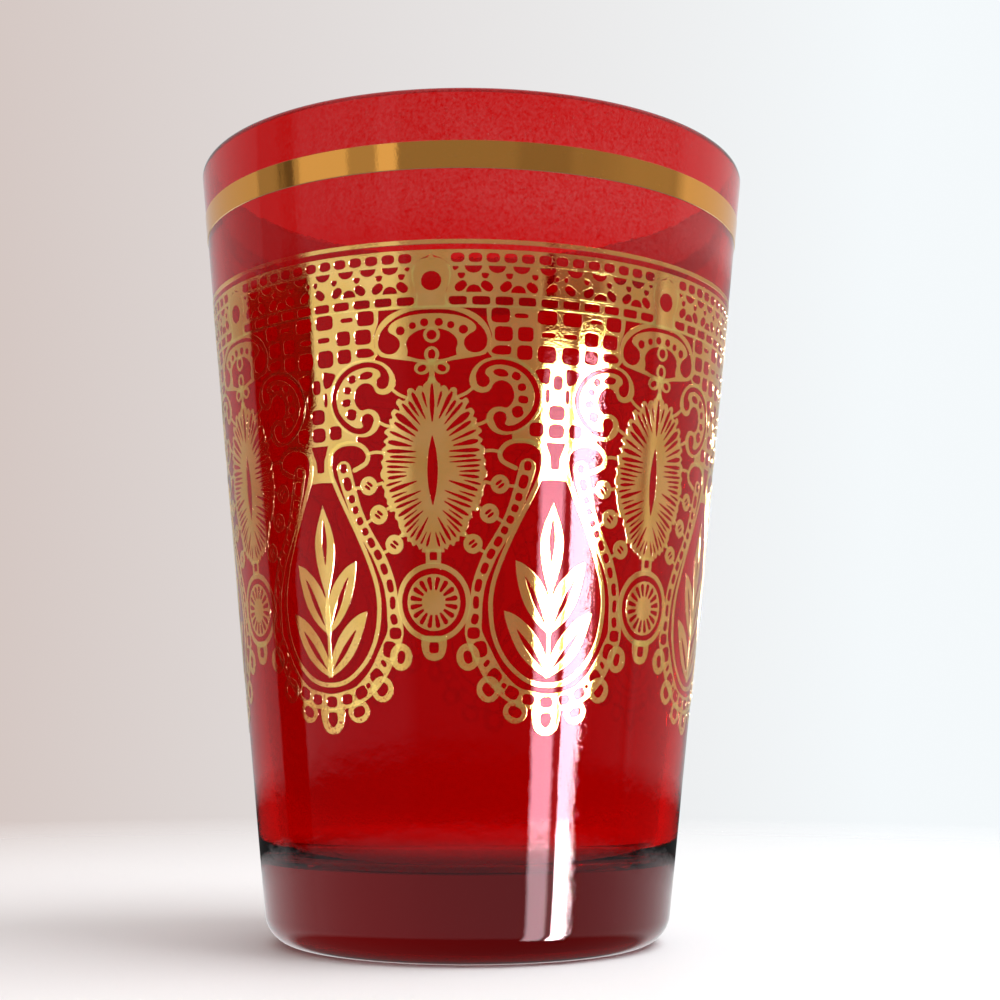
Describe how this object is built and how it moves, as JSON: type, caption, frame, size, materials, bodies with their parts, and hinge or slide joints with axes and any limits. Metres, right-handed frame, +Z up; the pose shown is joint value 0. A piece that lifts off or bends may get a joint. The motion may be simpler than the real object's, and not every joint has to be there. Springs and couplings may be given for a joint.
{
  "type": "moroccan tea glass",
  "caption": "Tapered red tea glass with a thick foot, a rounded rim, a gold rim band, a gold border line and a gold lace ornament round the wall.",
  "frame": {"origin": "middle of the foot, on the plane of the table", "axes": "+Z up along the axis of the glass, -Y towards the viewer of the picture"},
  "size_m": [0.0618, 0.0618, 0.0854],
  "materials": {
    "red_glass": "clear deep red glass, fire polished, faintly wavy",
    "fired_gold": "thin fired-on bright gold with slightly raised edges"
  },
  "bodies": {
    "root": {"glass_body": "red_glass", "rim_band": "fired_gold", "border_line": "fired_gold", "cell_border": "fired_gold", "star_lattice": "fired_gold", "brick_course": "fired_gold", "square_net": "fired_gold", "plaques": "fired_gold", "crown_arches": "fired_gold", "side_scrolls": "fired_gold", "sunbursts": "fired_gold", "bead_links": "fired_gold", "rosettes": "fired_gold", "teardrop_frames": "fired_gold", "picot_loops": "fired_gold", "leaf_sprays": "fired_gold"}
  },
  "joints": []
}
